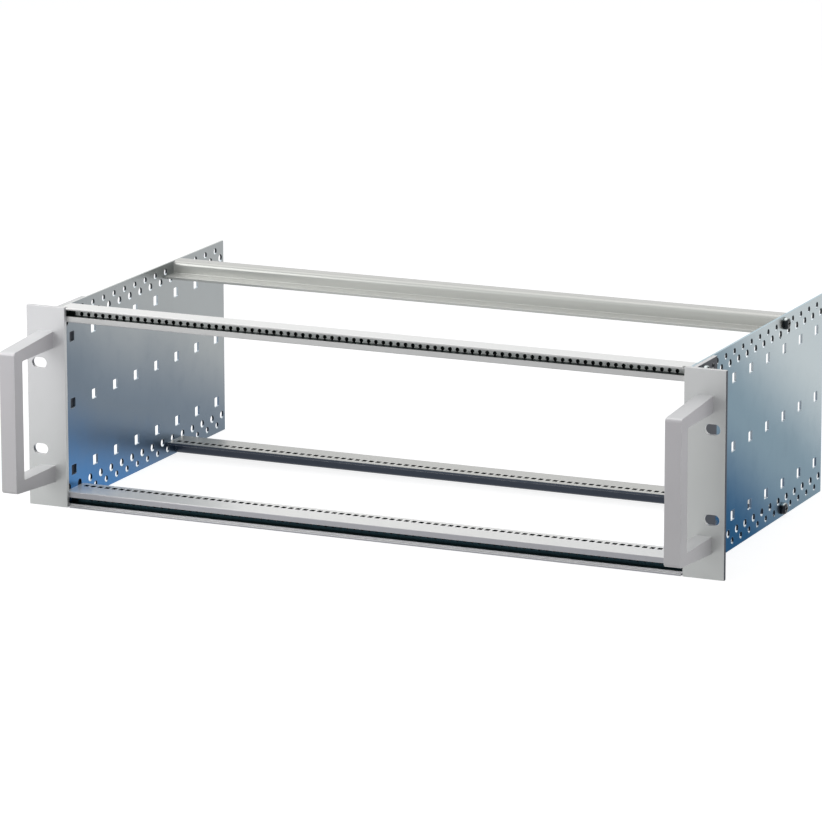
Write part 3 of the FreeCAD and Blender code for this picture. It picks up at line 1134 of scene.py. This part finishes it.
@dataclass
class Screws:
    """The pan head rail screws and the countersunk handle screws."""

    cage: Cage
    shank_radius: float = 1.95
    head_radius: float = 4.0
    head_height: float = 3.1
    length: float = 12.0
    front_length: float = 16.0
    sunk_radius: float = 3.9
    sunk_height: float = 1.95
    sunk_z: float = 44.45
    recess_depth: float = 1.7
    recess_length: float = 4.4
    recess_width: float = 1.0
    recess_mouth: float = 0.5
    tip_chamfer: float = 0.5
    land: float = 0.15
    rim_height: float = 1.2
    crown_inset: float = 1.56
    crown_steps: int = 6

    def recess(self, axis: Axis, mouth: float, centre: Point) -> Shape:
        """Cross recess cutter that opens at mouth, in a head that faces along the axis."""
        ends = sorted((mouth + self.recess_mouth, mouth - self.recess_depth))
        a, b = self.recess_length / 2, self.recess_width / 2
        u, v = centre
        cross = [(-b, -a), (b, -a), (b, -b), (a, -b), (a, b), (b, b), (b, a), (-b, a), (-b, b),
                 (-a, b), (-a, -b), (-b, -b)]
        return Shape().prism([(u + p, v + q) for p, q in cross], axis, *ends)

    def shank(self, tip: float, end: float) -> Loop:
        """Profile of a screw's shank, from its tip to its end."""
        return [(tip, 0), (tip, self.shank_radius - self.tip_chamfer),
                (tip + self.tip_chamfer, self.shank_radius), (end, self.shank_radius)]

    def pan_head(self, seat: float, length: float, centre: Point) -> Shape:
        """Pan head screw that points in -X from its seat."""
        top = seat + self.head_height
        profile = self.shank(seat - length, seat)
        profile += [(seat, self.head_radius - self.land), (seat + self.land, self.head_radius)]
        crown = 0.999 * (self.head_height - self.rim_height)
        for k in range(self.crown_steps + 1):
            turn = k / self.crown_steps * math.pi / 2
            profile.append((seat + self.rim_height + crown * math.sin(turn),
                            self.head_radius - self.crown_inset * (1 - math.cos(turn))))
        profile.append((top, 0))
        return Shape().lathe(profile, Axis.X, centre).cut(self.recess(Axis.X, top, centre))

    def sunk_head(self, centre: Point) -> Shape:
        """Countersunk screw that points in -Y from the flange's rear face."""
        profile = self.shank(-self.length, -self.sunk_height)
        profile += [(-self.land, self.sunk_radius), (0, self.sunk_radius), (0, 0)]
        return Shape().lathe(profile, Axis.Y, centre).cut(self.recess(Axis.Y, 0.0, centre))

    def joined(self, shapes: Iterable[Shape]) -> Shape:
        """One shape that holds several."""
        whole = Shape()
        for shape in shapes:
            mesh = bpy.data.meshes.new("scratch")
            shape.bm.to_mesh(mesh)
            whole.bm.from_mesh(mesh)
            bpy.data.meshes.remove(mesh)
            shape.bm.free()
        return whole

    def build(self) -> None:
        """Make all twelve screws, two to a piece."""
        cage = self.cage
        heights = [cage.height(cage.screw_inset, level) for level in Level]
        for side in Side:
            front = self.joined(self.pan_head(cage.leg_outer, self.front_length,
                                              (cage.front_screw_y, z)) for z in heights)
            rear = self.joined(self.pan_head(cage.panel_outer, self.length,
                                             (cage.rear_screw_y, z)) for z in heights)
            sunk = self.joined(self.sunk_head((cage.flange_middle, level.value * self.sunk_z))
                               for level in Level)
            for shape, name, node in ((front, "pan_screws_front", "rail_screws_front"),
                                      (rear, "pan_screws_rear", "rail_screws_rear"),
                                      (sunk, "sunk_screws", "handle_screws")):
                shape.mirrored(side).piece(f"{name}_{side.word}", (SCREW_STEEL,),
                                           f"{node}_{side.word}")


@dataclass(frozen=True)
class Lamp:
    """A square soft lamp: where it hangs, what it looks at, its side (all in metres) and watts."""

    name: str
    place: tuple[float, float, float]
    aim: tuple[float, float, float]
    size: float
    power: float
    colour: Colour = (1.0, 1.0, 1.0)

    def hang(self) -> None:
        """Make the lamp."""
        data = bpy.data.lights.new(self.name, "AREA")
        data.size = self.size
        data.energy = self.power
        data.color = self.colour
        obj = linked(self.name, data)
        obj.location = self.place
        obj.visible_camera = False
        look = Vector(self.aim) - Vector(self.place)
        obj.rotation_euler = look.to_track_quat("-Z", "Y").to_euler()


LAMPS = (Lamp("overhead", place=(-0.2, 0.3, 1.6), aim=(0, 0.1, 0), size=1.8, power=9.0),
         Lamp("key", place=(-0.75, -0.55, 0.45), aim=(-0.2, 0, 0), size=0.6, power=3.6),
         Lamp("side", place=(1.9, 0.5, 0.7), aim=(0.1, 0.1, 0), size=1.2, power=3.5,
              colour=(0.93, 0.97, 1.0)))


@dataclass
class Studio:
    """Floor, soft lamps, pale surroundings and the camera at the photograph's angle."""

    floor_z: float = -0.0664
    floor_size: float = 8.0
    floor_tone: float = 0.45
    floor_glow: float = 0.84
    fill: float = 0.3
    fill_tone: Colour = (0.95, 0.97, 1.0)
    lens: float = 235.117
    camera_place: tuple[float, float, float] = (1.372449, -2.989737, 0.792443)
    camera_turn: tuple[float, float, float] = (1.339498, 0.001895, 0.421798)

    def floor(self) -> None:
        """Pale floor that keeps the cage's shadow and looks as white as the surroundings."""
        mesh = bpy.data.meshes.new("floor")
        half = self.floor_size / 2
        rim = [(x, y, self.floor_z) for x, y in ((-half, -half), (half, -half), (half, half),
                                                 (-half, half))]
        mesh.from_pydata(rim, [], [(0, 1, 2, 3)])
        obj = linked("floor", mesh)
        material = bpy.data.materials.new("floor_card")
        material.use_nodes = True
        wiring = Wiring(material.node_tree)
        material.node_tree.nodes.clear()
        plain = wiring.add("ShaderNodeBsdfDiffuse")
        plain.inputs["Color"].default_value = rgba((self.floor_tone,) * 3)
        glow = wiring.add("ShaderNodeEmission")
        glow.inputs["Strength"].default_value = self.floor_glow
        lit = wiring.add("ShaderNodeAddShader")
        wiring.feed(lit.inputs[0], plain.outputs[0])
        wiring.feed(lit.inputs[1], glow.outputs[0])
        self.split(wiring, plain, lit, "ShaderNodeOutputMaterial")
        mesh.materials.append(material)
        obj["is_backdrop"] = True

    def split(self, wiring: Wiring, rest: bpy.types.Node, seen: bpy.types.Node,
              output: str) -> None:
        """Send one shader to the camera, straight or by way of metal, and another to the rest.

        Args:
            wiring: where the nodes go.
            rest: shader for the light that falls on other surfaces.
            seen: shader for the rays that show the surface to the camera.
            output: kind of the output node.
        """
        path = wiring.add("ShaderNodeLightPath").outputs
        straight = wiring.maths("MAXIMUM", path["Is Camera Ray"], path["Is Glossy Ray"])
        mixed = wiring.add("ShaderNodeMixShader")
        wiring.feed(mixed.inputs[0], wiring.maths("MAXIMUM", straight, path["Is Transmission Ray"]))
        wiring.feed(mixed.inputs[1], rest.outputs[0])
        wiring.feed(mixed.inputs[2], seen.outputs[0])
        wiring.feed(wiring.add(output).inputs["Surface"], mixed.outputs[0])

    def world(self) -> None:
        """White surroundings for what looks at them, and a soft fill for the rest."""
        world = bpy.data.worlds.new("surroundings")
        bpy.context.scene.world = world
        world.use_nodes = True
        wiring = Wiring(world.node_tree)
        world.node_tree.nodes.clear()
        fill = wiring.add("ShaderNodeBackground")
        fill.inputs["Color"].default_value = rgba(self.fill_tone)
        fill.inputs["Strength"].default_value = self.fill
        white = wiring.add("ShaderNodeBackground")
        white.inputs["Color"].default_value = (1, 1, 1, 1)
        white.inputs["Strength"].default_value = 1.0
        self.split(wiring, fill, white, "ShaderNodeOutputWorld")

    def camera(self) -> None:
        """Camera at the photograph's viewing angle."""
        data = bpy.data.cameras.new("camera")
        data.sensor_width = 36.0
        data.lens = self.lens
        data.clip_end = 100.0
        obj = linked("camera", data)
        obj.location = self.camera_place
        obj.rotation_euler = self.camera_turn
        bpy.context.scene.camera = obj

    def build(self) -> None:
        """Set up the whole studio."""
        self.floor()
        self.world()
        for lamp in LAMPS:
            lamp.hang()
        self.camera()
        bpy.context.scene.view_settings.view_transform = "Standard"


def corners() -> list[list[float]]:
    """The shown object's box as plain lists."""
    return [list(map(float, corner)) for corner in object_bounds()]


def main() -> None:
    """Build every sub-assembly in order."""
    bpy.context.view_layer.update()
    cage = Cage.from_frame()
    for part in (SidePanels(cage), RackFlanges(cage), Handles(cage), Rails(cage),
                 ThreadedStrips(cage), Screws(cage)):
        part.build()
        log.info("%s done", type(part).__name__)
    Studio().build()


if __name__ == "__main__":
    logging.basicConfig(level=logging.INFO, format="%(name)s: %(message)s")
    main()
